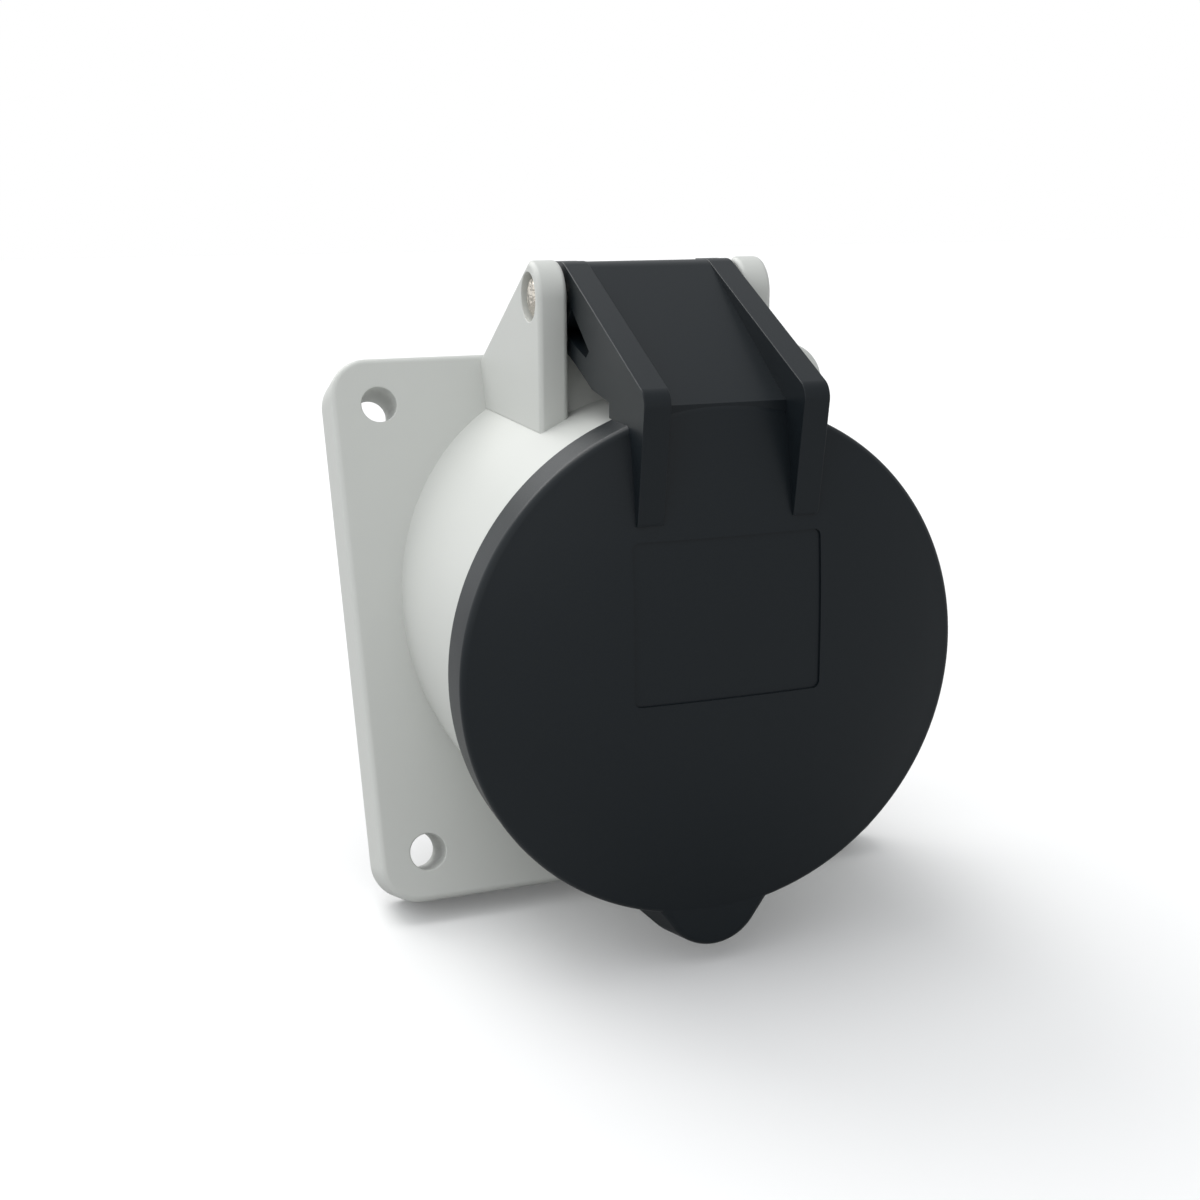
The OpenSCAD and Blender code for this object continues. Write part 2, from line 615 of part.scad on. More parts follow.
module contact_1() contact(1);
module contact_2() contact(2);
module contact_3() contact(3);
module contact_neutral() contact(4);
module contact_earth() contact(0);
module sleeve_spring_1() sleeve_spring(1);
module sleeve_spring_2() sleeve_spring(2);
module sleeve_spring_3() sleeve_spring(3);
module sleeve_spring_neutral() sleeve_spring(4);
module sleeve_spring_earth() sleeve_spring(0);
module terminal_screw_1() terminal_screw(1);
module terminal_screw_2() terminal_screw(2);
module terminal_screw_3() terminal_screw(3);
module terminal_screw_neutral() terminal_screw(4);
module terminal_screw_earth() terminal_screw(0);

module carrier_screws() color(steel) on_axis() for (x = [-carrier_screw_x, carrier_screw_x])
    translate([x, 0, 0]) difference() {
        union() {
            translate([0, 0, carrier_screw_back])
                cylinder(h = carrier_front - seat_depth - carrier_screw_back, r = carrier_screw_r);
            translate([0, 0, carrier_front - seat_depth]) cylinder(h = 2.4, r = carrier_head_r);
        }
        translate([-5, -0.4, carrier_front - seat_depth + 1.3]) cube([10, 0.8, 5]);
        translate([-0.4, -5, carrier_front - seat_depth + 1.3]) cube([0.8, 10, 5]);
    }

module flange_seal() color(rubber) difference() {
    rounded_plate(flange_w - 2 * flange_side - 2 * gasket_play, flange_corner_r - flange_side - gasket_play,
        gasket_t, 0);
    translate([0, 1, seal_opening_z]) rotate([90, 0, 0])
        cylinder(h = gasket_t + 2, r = collar_r + seal_opening_play);
    bolt_holes(boss_d + 2 * gasket_play, -gasket_t - 1, 1);
}

housing();
lid();
hinge_pin();
pin_cap();
lid_spring();
lid_seal();
contact_carrier();
terminal_block();
contact_1();
contact_2();
contact_3();
contact_neutral();
contact_earth();
sleeve_spring_1();
sleeve_spring_2();
sleeve_spring_3();
sleeve_spring_neutral();
sleeve_spring_earth();
terminal_screw_1();
terminal_screw_2();
terminal_screw_3();
terminal_screw_neutral();
terminal_screw_earth();
carrier_screws();
flange_seal();
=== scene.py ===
import math

import bmesh
import bpy
from mathutils import Matrix, Vector


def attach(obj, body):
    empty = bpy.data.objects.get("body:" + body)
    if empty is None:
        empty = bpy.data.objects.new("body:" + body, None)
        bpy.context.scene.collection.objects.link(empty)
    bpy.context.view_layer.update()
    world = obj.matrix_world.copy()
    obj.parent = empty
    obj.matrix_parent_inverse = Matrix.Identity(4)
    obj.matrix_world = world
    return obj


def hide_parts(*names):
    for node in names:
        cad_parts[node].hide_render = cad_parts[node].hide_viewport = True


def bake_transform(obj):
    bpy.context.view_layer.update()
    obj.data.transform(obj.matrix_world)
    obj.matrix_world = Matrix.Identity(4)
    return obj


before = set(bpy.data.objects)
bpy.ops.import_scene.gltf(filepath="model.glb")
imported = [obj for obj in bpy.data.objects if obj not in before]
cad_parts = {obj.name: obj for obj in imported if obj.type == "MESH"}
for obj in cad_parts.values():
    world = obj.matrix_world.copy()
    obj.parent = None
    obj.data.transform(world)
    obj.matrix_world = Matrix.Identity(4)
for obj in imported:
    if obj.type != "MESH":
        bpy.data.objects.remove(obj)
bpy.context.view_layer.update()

# Sizes in millimetres, the same as the socket's source
MM = 0.001
TILT = math.radians(20)
# Flange: walls of its hollow back and of the seal's seat behind it, opening for the insert, screw bosses
FLANGE_W, FLANGE_T, CORNER_R, FRONT_WALL, SIDE_WALL = 85, 10, 6, 3.5, 4.2
SEAL_WALL, SEAL_SEAT, OPENING_R = 3, 2.5, 33.6
BOLT_AT, BOLT_R, BOLT_CHAMFER, BOSS_R, BOSS_LENGTH = 35, 2.75, 0.25, 5, 7
# Collar along its axis from the flange's front: outside, bore, stepped rim, inner ledge, keyway
AXIS_Z = 1.465
COLLAR_R, BORE_R, COLLAR_BACK = 34.9, 31.75, -24
RIM_R, RIM_START, RIM_SLOPE, MOUTH, MOUTH_EDGE = 33.4, 35.4, 1.5, 39.3, 0.3
LEDGE_R, LEDGE_FRONT, LEDGE_BACK, REAR_R = 26.5, 3, -1, 32.4
KEY_HALF, KEY_FROM, KEY_TO = 3, -34, -20
# Hinge pin above and along the collar's axis, and in the world
PIN_B, PIN_C, PIN_R, PIN_HOLE_R = 49, 13.86, 2, 2.05
PIN_Y, PIN_Z = -39.783, 42.770
HEAD_R, HEAD_FACE, HEAD_EDGE, HEAD_DOME, PIN_END, CAP_PLAY, CAP_FLOOR = 3.1, 15.9, 16.55, 1.2, -17.1, 0.02, 17.15
# Ears: faces, round head, straight back that leans, foot inside the collar, counterbore
EAR_IN, EAR_OUT, EAR_HEAD, EAR_BACK, EAR_LEAN, EAR_RUN = 13.5, 17.9, 5.1, 4.35, 30.3, 32
EAR_FOOT_B, EAR_FOOT_C, EAR_ROUND, SINK_R = 29.6, -13.6, 0.8, 3.5
# Web between the ears: its faces behind the pin, its tops below it, the raised seat of the spring's leg
WEB_FRONT, WEB_BACK, WEB_LOW, WEB_DROP = 3.6, 8.1, 25, 3.8
SEAT_HALF, SEAT_DROP, SEAT_INSET = 8.3, 3.23, 0.03
# Lid: crowned cap, skirt, seal groove, bare recess
LID_R, SKIRT_BACK, LID_FRONT, LID_ROUND = 36.4, 35.26, 42.56, 1.15
CROWN_H, CROWN_N, LID_WALL = 3.7, 2.6, 2.4
CROWN_R = LID_R - LID_ROUND
SKIRT_MOUTH_R, SKIRT_IN_R, GROOVE_IN_R, SEAL_RIB_R = 35.3, 34.8, 31.7, 30.6
GROOVE_TOP, SEAL_RIB_BACK = 41.2, 40.2
LABEL_HALF, LABEL_LOW, LABEL_HIGH, LABEL_DEPTH, LABEL_ROUND = 13.6, -3.2, 19.1, 0.3, 1.0
# Ribs: faces, rounding of the peak and of the rims, peak and foot as (along the axis, above it), knuckle with its heel
RIB_IN, RIB_OUT, PEAK_R, RIB_ROUND, COVER_T = 9.3, 13, 2.5, 0.95, 1.3
RIB_PEAK, RIB_FOOT = (48.18, 38.5), (45.5, 21.1)
KNUCKLE_R, HEEL, HEEL_UP = 4.9, 3.6, 4.8
# Finger tab: its faces, edge and root, then centre of the round tip, tip radius, lean of the sides in degrees
TAB_FACE, TAB_BACK, TAB_EDGE, TAB_ROOT = 42.45, 37.2, 0.8, -33
TAB_FRONT, TAB_REAR = (-34.8, 6.8, 32.8), (-32, 10.4, 45)
WIRE_R = 0.4
# Far enough to pass through everything that it cuts
BEYOND = 40

# Collar axis as the local Z, upwards in the lid's plane as the local Y
AXIS = Matrix.Translation((0, -FLANGE_T * MM, AXIS_Z * MM)) @ Matrix.Rotation(math.pi / 2 + TILT, 4, "X")


def arc(cx, cy, r, a0, a1, n):
    """Points of an arc from one angle to another, in degrees."""
    turns = [math.radians(a0 + (a1 - a0) * i / n) for i in range(n + 1)]
    return [(cx + r * math.cos(a), cy + r * math.sin(a)) for a in turns]


def crown(r):
    """Height of the lid's crowned face at a distance from its axis."""
    return LID_FRONT + CROWN_H * (1 - (r / CROWN_R) ** CROWN_N)


def new_verts(geom):
    return [g for g in geom if isinstance(g, bmesh.types.BMVert)]


def mirrored_in_x(bm):
    bmesh.ops.scale(bm, vec=(-1, 1, 1), verts=bm.verts)
    bmesh.ops.recalc_face_normals(bm, faces=bm.faces)


def side_slab(points, x0, x1):
    """Slab across X from a side outline given as (along the axis, above the axis)."""
    bm = bmesh.new()
    face = bm.faces.new([bm.verts.new(Vector((0, b, c)) * MM) for c, b in points])
    bmesh.ops.translate(bm, vec=Vector((x0, 0, 0)) * MM, verts=bm.verts)
    grown = bmesh.ops.extrude_face_region(bm, geom=[face])["geom"]
    bmesh.ops.translate(bm, vec=Vector((x1 - x0, 0, 0)) * MM, verts=new_verts(grown))
    bmesh.ops.holes_fill(bm, edges=[e for e in bm.edges if e.is_boundary], sides=0)
    bmesh.ops.recalc_face_normals(bm, faces=bm.faces)
    return bm


def turned(profile, closed=False, steps=160):
    """Solid turned round the local Z from a profile of (radius, height)."""
    bm = bmesh.new()
    verts = [bm.verts.new((r * MM, 0, h * MM)) for r, h in profile]
    edges = [bm.edges.new(pair) for pair in zip(verts, verts[1:])]
    if closed:
        edges.append(bm.edges.new((verts[-1], verts[0])))
    bmesh.ops.spin(bm, geom=verts + edges, cent=(0, 0, 0), axis=(0, 0, 1), angle=2 * math.pi,
                   steps=steps, use_merge=True)
    bmesh.ops.remove_doubles(bm, verts=bm.verts, dist=1e-7)
    bmesh.ops.recalc_face_normals(bm, faces=bm.faces)
    return bm


def across(profile, mirrored=False):
    """Turned round the hinge pin's line, with heights along X."""
    bm = turned(profile, steps=64)
    bmesh.ops.transform(bm, matrix=Matrix.Rotation(math.pi / 2, 4, "Y"), verts=bm.verts)
    if mirrored:
        mirrored_in_x(bm)
    bmesh.ops.translate(bm, vec=(0, PIN_B * MM, PIN_C * MM), verts=bm.verts)
    return bm


def block(low, high, edge=0.4):
    """Box between two corners, with all its edges rounded unless the edge is 0."""
    low, high = Vector(low) * MM, Vector(high) * MM
    bm = bmesh.new()
    bmesh.ops.create_cube(bm, size=1)
    bmesh.ops.scale(bm, vec=high - low, verts=bm.verts)
    bmesh.ops.translate(bm, vec=(low + high) / 2, verts=bm.verts)
    if edge:
        rounded(bm, bm.edges[:], edge, 3)
    return bm


def rounded(bm, edges, width, segments):
    bmesh.ops.bevel(bm, geom=edges, offset=width * MM, offset_type="OFFSET", segments=segments,
                    profile=0.5, affect="EDGES", clamp_overlap=True, material=-1)
    return bm


def rounded_rims(bm, width, segments):
    """Rounds the outlines of both sides of a slab that lies across X."""
    at = [v.co.x for v in bm.verts]
    ends = (min(at), max(at))
    rims = [e for e in bm.edges if any(all(abs(v.co.x - end) < 1e-7 for v in e.verts) for end in ends)]
    return rounded(bm, rims, width, segments)


def placed(bm, matrix=AXIS):
    """Takes a shape from its own frame to the world's."""
    bmesh.ops.transform(bm, matrix=matrix, verts=bm.verts)
    return bm


def in_scene(name, data):
    obj = bpy.data.objects.new(name, data)
    bpy.context.scene.collection.objects.link(obj)
    return obj


def meshed(name, bm):
    mesh = bpy.data.meshes.new(name)
    bm.to_mesh(mesh)
    bm.free()
    return in_scene(name, mesh)


def merged(bm, tools, operation):
    """Cuts the tools out of a solid, or joins them to it."""
    body = meshed("loose", bm)
    cutters = [meshed("loose", tool) for tool in tools]
    for cutter in cutters:
        cut = body.modifiers.new("cut", "BOOLEAN")
        cut.operation = operation
        cut.solver = "EXACT"
        cut.object = cutter
    bpy.context.view_layer.update()
    result = bmesh.new()
    result.from_object(body, bpy.context.evaluated_depsgraph_get())
    for obj in [body] + cutters:
        bpy.data.objects.remove(obj)
    bmesh.ops.remove_doubles(result, verts=result.verts, dist=1e-6)
    bmesh.ops.dissolve_degenerate(result, dist=1e-6, edges=result.edges)
    return result


def carved(bm, *tools):
    """Solid without the tools' shapes."""
    return merged(bm, tools, "DIFFERENCE")


def piece(name, bm, body, material, nodes=(), sharp=32):
    """One finished piece, smooth apart from its sharp edges."""
    for face in bm.faces:
        face.smooth = True
        face.material_index = 0
    for edge in bm.edges:
        edge.smooth = len(edge.link_faces) == 2 and edge.calc_face_angle(0) < math.radians(sharp)
    obj = meshed(name, bm)
    obj.data.materials.append(material)
    shade = obj.modifiers.new("even_shading", "WEIGHTED_NORMAL")
    shade.mode = "FACE_AREA"
    shade.weight = 80
    shade.keep_sharp = True
    if body:
        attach(obj, body)
    if nodes:
        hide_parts(*nodes)
    return obj


# Materials


def surface_group():
    """Fine grain and slow colour drift of a moulded or machined surface."""
    group = bpy.data.node_groups.new("Moulded surface", "ShaderNodeTree")
    face = group.interface
    for label, value in (("Grain per mm", 4.0), ("Grain depth", 1.0), ("Drift", 0.04), ("Gloss drift", 0.05)):
        socket = face.new_socket(label, in_out="INPUT", socket_type="NodeSocketFloat")
        socket.default_value = value
    colour = face.new_socket("Colour", in_out="INPUT", socket_type="NodeSocketColor")
    colour.default_value = (0.5, 0.5, 0.5, 1)
    rough = face.new_socket("Roughness", in_out="INPUT", socket_type="NodeSocketFloat")
    rough.default_value = 0.4
    face.new_socket("Colour", in_out="OUTPUT", socket_type="NodeSocketColor")
    face.new_socket("Roughness", in_out="OUTPUT", socket_type="NodeSocketFloat")
    face.new_socket("Height", in_out="OUTPUT", socket_type="NodeSocketFloat")
    nodes, link = group.nodes, group.links.new
    inputs, outputs = nodes.new("NodeGroupInput"), nodes.new("NodeGroupOutput")
    place = nodes.new("ShaderNodeTexCoord")

    def maths(operation, a, b):
        node = nodes.new("ShaderNodeMath")
        node.operation = operation
        for i, value in enumerate((a, b)):
            if isinstance(value, (int, float)):
                node.inputs[i].default_value = value
            else:
                link(value, node.inputs[i])
        return node.outputs[0]

    per_metre = maths("MULTIPLY", inputs.outputs["Grain per mm"], 1000.0)
    grain = nodes.new("ShaderNodeTexNoise")
    grain.inputs["Detail"].default_value = 2.0
    grain.inputs["Roughness"].default_value = 0.55
    link(place.outputs["Object"], grain.inputs["Vector"])
    link(per_metre, grain.inputs["Scale"])
    slow = nodes.new("ShaderNodeTexNoise")
    slow.inputs["Scale"].default_value = 55.0
    slow.inputs["Detail"].default_value = 3.0
    link(place.outputs["Object"], slow.inputs["Vector"])
    centred = maths("SUBTRACT", slow.outputs["Fac"], 0.5)
    gain = maths("ADD", maths("MULTIPLY", centred, inputs.outputs["Drift"]), 1.0)
    tint = nodes.new("ShaderNodeVectorMath")
    tint.operation = "SCALE"
    link(inputs.outputs["Colour"], tint.inputs[0])
    link(gain, tint.inputs["Scale"])
    link(tint.outputs[0], outputs.inputs["Colour"])
    gloss = maths("MULTIPLY", centred, inputs.outputs["Gloss drift"])
    fine = maths("MULTIPLY", maths("SUBTRACT", grain.outputs["Fac"], 0.5), inputs.outputs["Gloss drift"])
    link(maths("ADD", inputs.outputs["Roughness"], maths("ADD", gloss, fine)), outputs.inputs["Roughness"])
    link(maths("MULTIPLY", grain.outputs["Fac"], inputs.outputs["Grain depth"]), outputs.inputs["Height"])
    return group


SURFACE = surface_group()


def finish_of(name, colour, roughness, grain=4.0, depth=1.0, drift=0.04, gloss_drift=0.06, metallic=0.0,
              specular=0.5, bump=0.02):
    """Material with its grain and drift at real scale, the bump's height in millimetres."""
    material = bpy.data.materials.new(name)
    material.use_nodes = True
    nodes, link = material.node_tree.nodes, material.node_tree.links.new
    shader = nodes["Principled BSDF"]
    surface = nodes.new("ShaderNodeGroup")
    surface.node_tree = SURFACE
    values = {"Grain per mm": grain, "Grain depth": depth, "Drift": drift, "Gloss drift": gloss_drift,
              "Colour": (*colour, 1), "Roughness": roughness}
    for label, value in values.items():
        surface.inputs[label].default_value = value
    raised = nodes.new("ShaderNodeBump")
    raised.inputs["Strength"].default_value = 0.5
    raised.inputs["Distance"].default_value = bump * MM
    link(surface.outputs["Height"], raised.inputs["Height"])
    link(raised.outputs["Normal"], shader.inputs["Normal"])
    link(surface.outputs["Colour"], shader.inputs["Base Color"])
    link(surface.outputs["Roughness"], shader.inputs["Roughness"])
    shader.inputs["Metallic"].default_value = metallic
    shader.inputs["Specular IOR Level"].default_value = specular
    return material


GREY = finish_of("Light grey moulding", (0.60, 0.612, 0.585), 0.42, grain=5, bump=0.012, drift=0.03)
BLACK = finish_of("Black moulding", (0.0073, 0.0109, 0.0139), 0.36, grain=7, bump=0.02, drift=0.08,
                  specular=0.28)
INSULATOR = finish_of("Dark insulating moulding", (0.03, 0.032, 0.034), 0.55, grain=5, bump=0.02)
STEEL = finish_of("Plated steel", (0.62, 0.61, 0.58), 0.24, grain=12, bump=0.004, metallic=1.0,
                  gloss_drift=0.1)
RIVETED = finish_of("Upset steel head", (0.68, 0.63, 0.55), 0.12, grain=1.1, bump=0.9, metallic=1.0,
                    gloss_drift=0.2)
BRASS = finish_of("Turned brass", (0.72, 0.52, 0.22), 0.28, grain=10, bump=0.005, metallic=1.0,
                  gloss_drift=0.1)
RUBBER = finish_of("Black rubber", (0.018, 0.018, 0.019), 0.75, grain=3, bump=0.03, drift=0.1)

# Housing: flange with its hollow back, collar, ears and the web between them


def upright_edges(bm):
    """Edges that run through the flange from front to back."""
    return [e for e in bm.edges if abs(e.verts[0].co.y - e.verts[1].co.y) > 1e-4]


def flange_plate():
    bm = block((-FLANGE_W / 2, -FLANGE_T, -FLANGE_W / 2), (FLANGE_W / 2, 0, FLANGE_W / 2), 0)
    rounded(bm, upright_edges(bm), CORNER_R, 14)
    front = [e for e in bm.edges if all(v.co.y < -FLANGE_T * MM + 1e-6 for v in e.verts)]
    rounded(bm, front, 1.0, 5)
    back = [e for e in bm.edges if all(v.co.y > -1e-6 for v in e.verts)]
    return rounded(bm, back, 0.3, 2)


def hollow(wall, depth):
    """Hollow of the flange's back, open behind, with rounded corners."""
    half = FLANGE_W / 2 - wall
    bm = block((-half, -depth, -half), (half, 2, half), 0)
    return rounded(bm, upright_edges(bm), 3, 6)


def at_bolt(x, z, profile, closed=False):
    """Turned round a fixing hole, with heights from the flange's back face forwards."""
    matrix = Matrix.Translation((x * MM, 0, z * MM)) @ Matrix.Rotation(math.pi / 2, 4, "X")
    return placed(turned(profile, closed, 64), matrix)


def bolt_cutter(x, z):
    wide, over = BOLT_R + BOLT_CHAMFER + 0.02, FLANGE_T + 2
    return at_bolt(x, z, [(0, -1), (BOLT_R, -1), (BOLT_R, FLANGE_T - BOLT_CHAMFER), (BOLT_R + 0.08, FLANGE_T - 0.09),
                          (wide, FLANGE_T + 0.01), (wide, over), (0, over)])


def boss(x, z):
    """Screw boss, a hair short of the flange's back edge so that no faces coincide."""
    start = 0.03
    return at_bolt(x, z, [(BOLT_R, start), (BOLT_R, BOSS_LENGTH), (BOSS_R, BOSS_LENGTH), (BOSS_R, start)], True)


def flange_with_holes():
    opening = placed(turned([(0, -BEYOND), (OPENING_R, -BEYOND), (OPENING_R, 25), (0, 25)]))
    return carved(flange_plate(), hollow(SIDE_WALL, FLANGE_T - FRONT_WALL), hollow(SEAL_WALL, SEAL_SEAT), opening,
                  *[bolt_cutter(x, z) for x, z in corners])


def leaning_collar():
    bm = turned([(COLLAR_R, COLLAR_BACK), (COLLAR_R, RIM_START - 0.2), (COLLAR_R - 0.1, RIM_START),
                 (RIM_R, RIM_START + RIM_SLOPE), (RIM_R, MOUTH - MOUTH_EDGE), (RIM_R - MOUTH_EDGE, MOUTH),
                 (BORE_R + MOUTH_EDGE, MOUTH), (BORE_R, MOUTH - MOUTH_EDGE), (BORE_R, LEDGE_FRONT),
                 (LEDGE_R, LEDGE_FRONT), (LEDGE_R, LEDGE_BACK), (REAR_R, LEDGE_BACK), (REAR_R, COLLAR_BACK)],
                closed=True, steps=192)
    # What would stand behind the flange's front wall is cut off along the wall's back
    behind = [(c, (-FRONT_WALL - math.cos(TILT) * c) / math.sin(TILT)) for c in (LEDGE_BACK, -BEYOND)]
    low = -2 * BEYOND
    spare = side_slab(behind + [(-60, behind[1][1]), (-60, low), (LEDGE_BACK, low)], -50, 50)
    keyway = block((-KEY_HALF, KEY_FROM, LEDGE_FRONT), (KEY_HALF, KEY_TO, 60), 0)
    return placed(carved(bm, spare, keyway))


def ear(mirrored):
    """Hinge ear with its pin hole and counterbore."""
    half = math.degrees(math.acos(EAR_BACK / EAR_HEAD))
    dc, db = math.cos(math.radians(EAR_LEAN)), math.sin(math.radians(EAR_LEAN))
    top = (PIN_C - EAR_BACK * db, PIN_B + EAR_BACK * dc)
    points = [(PIN_C + EAR_HEAD, EAR_FOOT_B)] + arc(PIN_C, PIN_B, EAR_HEAD, 0, 90 + EAR_LEAN - half, 14)
    points += [(top[0] - EAR_RUN * dc, top[1] - EAR_RUN * db), (EAR_FOOT_C, EAR_FOOT_B)]
    bm = rounded_rims(side_slab(points, EAR_IN, EAR_OUT), EAR_ROUND, 4)
    pin_hole = across([(0, 12), (PIN_HOLE_R, 12), (PIN_HOLE_R, HEAD_FACE + 0.1), (0, HEAD_FACE + 0.1)])
    wide = SINK_R + 0.22
    sink = across([(0, HEAD_FACE), (SINK_R, HEAD_FACE), (SINK_R, EAR_OUT - 0.2), (SINK_R + 0.06, EAR_OUT - 0.06),
                   (wide, EAR_OUT + 0.01), (wide, 19), (0, 19)])
    bm = carved(bm, pin_hole, sink)
    if mirrored:
        mirrored_in_x(bm)
    return placed(bm)


corners = [(x, z) for x in (-BOLT_AT, BOLT_AT) for z in (-BOLT_AT, BOLT_AT)]
web = block((-EAR_IN - 0.5, PIN_Y + WEB_FRONT, WEB_LOW), (EAR_IN + 0.5, PIN_Y + WEB_BACK, PIN_Z - WEB_DROP))
leg_seat = block((-SEAT_HALF, PIN_Y + WEB_FRONT + SEAT_INSET, WEB_LOW + 0.1),
                 (SEAT_HALF, PIN_Y + WEB_BACK - SEAT_INSET, PIN_Z - SEAT_DROP))
whole_housing = merged(flange_with_holes(), [leaning_collar(), ear(False), ear(True), web, leg_seat]
                       + [boss(x, z) for x, z in corners], "UNION")
piece("housing_moulding", whole_housing, "socket_body", GREY, ["housing"])

# Lid: cap with its bare recess, ribs with the hinge knuckles, cover and tab


def recess_sides():
    """Lines round the bare recess as (point, outward direction, rounded corner that it cuts)."""
    sides = [(Vector((side * LABEL_HALF, 0)), Vector((side, 0)), None) for side in (-1, 1)]
    for level, up in ((LABEL_LOW, -1), (LABEL_HIGH, 1)):
        sides.append((Vector((0, level)), Vector((0, up)), None))
        for side in (-1, 1):
            corner = Vector((side * LABEL_HALF, level))
            for turn in (22.5, 45, 67.5):
                out = Vector((side * math.cos(math.radians(turn)), up * math.sin(math.radians(turn))))
                sides.append((corner + LABEL_ROUND * (out - Vector((side, up))), out, corner))
    return sides


def lid_cap():
    """Crowned cap, turned, with the bare recess let into its face."""
    top = [(CROWN_R * i / 26, crown(CROWN_R * i / 26)) for i in range(27)]
    edge = arc(CROWN_R, LID_FRONT - LID_ROUND, LID_ROUND, 75, 0, 6)
    skirt = [(LID_R, SKIRT_BACK + 0.3), (LID_R - 0.09, SKIRT_BACK + 0.09), (LID_R - 0.3, SKIRT_BACK)]
    inside = [(SKIRT_MOUTH_R, SKIRT_BACK), (SKIRT_MOUTH_R, SKIRT_BACK + 0.9), (SKIRT_IN_R, SKIRT_BACK + 1.5),
              (SKIRT_IN_R, GROOVE_TOP), (GROOVE_IN_R, GROOVE_TOP), (GROOVE_IN_R, SEAL_RIB_BACK),
              (SEAL_RIB_R, SEAL_RIB_BACK)]
    ceiling = [(SEAL_RIB_R * i / 8, crown(SEAL_RIB_R * i / 8) - LID_WALL) for i in range(8, -1, -1)]
    bm = turned(top + edge + skirt + inside + ceiling, steps=192)

    def on_top(face):
        mid = face.calc_center_median()
        return mid.z > (LID_FRONT - 0.05) * MM and face.normal.z > 0.5 and mid.xy.length < CROWN_R * MM

    sides = recess_sides()
    for at, out, corner in sides:
        faces = [f for f in bm.faces if on_top(f)
                 and (corner is None or (f.calc_center_median().xy / MM - corner).length < 2.5)]
        edges = list(dict.fromkeys(e for f in faces for e in f.edges))
        verts = list(dict.fromkeys(v for f in faces for v in f.verts))
        bmesh.ops.bisect_plane(bm, geom=verts + edges + faces, dist=1e-7,
                               plane_co=(*(at * MM), 0), plane_no=(*out, 0))
        for vert in list(dict.fromkeys(v for f in bm.faces if on_top(f) for v in f.verts)):
            vert.co.z = crown(min(vert.co.xy.length / MM, CROWN_R)) * MM
    inner = [f for f in bm.faces if on_top(f)
             and all((f.calc_center_median().xy / MM - at).dot(out) < 0 for at, out, corner in sides)]
    sunk = bmesh.ops.extrude_face_region(bm, geom=inner)["geom"]
    bmesh.ops.translate(bm, vec=(0, 0, -LABEL_DEPTH * MM), verts=new_verts(sunk))
    bmesh.ops.delete(bm, geom=inner, context="FACES")
    bmesh.ops.recalc_face_normals(bm, faces=bm.faces)
    return placed(bm)


def slope_to_pin(c, b, r):
    """Slope of the line from a point up to the top of a circle round the pin, in radians."""
    return math.atan2(PIN_B - b, c - PIN_C) + math.asin(r / math.hypot(PIN_B - b, c - PIN_C))


def arm_points():
    """Side outline of a rib and its knuckle: foot, rounded peak, knuckle with its heel, underside, rim."""
    (peak_c, peak_b), (low_c, low_b) = RIB_PEAK, RIB_FOOT
    slope = slope_to_pin(peak_c, peak_b, KNUCKLE_R)
    lean = math.atan2(peak_c - low_c, peak_b - low_b)
    cut = PEAK_R * math.tan((math.pi / 2 - slope + lean) / 2)
    centre_c = peak_c - cut * math.sin(lean) - PEAK_R * math.cos(lean)
    centre_b = peak_b - cut * math.cos(lean) + PEAK_R * math.sin(lean)
    up = 90 - math.degrees(slope)
    heel_side = math.sqrt(KNUCKLE_R ** 2 - HEEL ** 2)
    heel_top = math.sqrt(KNUCKLE_R ** 2 - HEEL_UP ** 2)
    under_c = 12.5
    points = [(43.6, low_b + 0.3), (low_c - 0.9, low_b), (low_c - 0.3, low_b + 0.15), (low_c + 0.02, low_b + 0.7)]
    points += arc(centre_c, centre_b, PEAK_R, -math.degrees(lean), up, 12)
    points += arc(PIN_C, PIN_B, KNUCKLE_R, up, 90 + math.degrees(math.asin(heel_top / KNUCKLE_R)), 8)
    points += [(PIN_C - HEEL, PIN_B + HEEL_UP)]
    points += arc(PIN_C, PIN_B, KNUCKLE_R, 180 - math.degrees(math.asin(heel_side / KNUCKLE_R)),
                  360 - math.degrees(math.acos((under_c - PIN_C) / KNUCKLE_R)), 16)
    points += [(under_c, 42.3), (20.06, 39.9), (27.46, 37.05), (34.46, 36.1), (34.46, 34), (35.4, 34),
               (35.4, 33.7), (41.5, 33.7)]
    return points


def lid_arm(mirrored):
    bm = rounded_rims(side_slab(arm_points(), RIB_IN, RIB_OUT), RIB_ROUND, 5)
    window = [(26.46, 42.2), (25.06, 41.2), (17.36, 43.3)] + arc(PIN_C, PIN_B, KNUCKLE_R, -86, -15.2, 8)
    bm = carved(bm, side_slab(window, 5, 16), across([(0, 5), (PIN_HOLE_R, 5), (PIN_HOLE_R, 16), (0, 16)]))
    if mirrored:
        mirrored_in_x(bm)
    return placed(bm)


def lid_cover():
    """Sloping wall between the ribs, wrapped round the spring at its upper end."""
    wrap, turn, low_b = KNUCKLE_R - 0.1, 98, 34.9
    front = (LID_FRONT - 0.3, LID_R)
    slope = slope_to_pin(*front, wrap)
    start = 90 - math.degrees(slope)
    points = arc(PIN_C, PIN_B, wrap, start, turn, 8) + arc(PIN_C, PIN_B, wrap - COVER_T, turn, start, 8)
    points += [(front[0] - COVER_T * math.sin(slope), front[1] - COVER_T * math.cos(slope)),
               (front[0] - 1.2, low_b), (front[0], low_b), front]
    return placed(side_slab(points, -RIB_IN - 1, RIB_IN + 1))


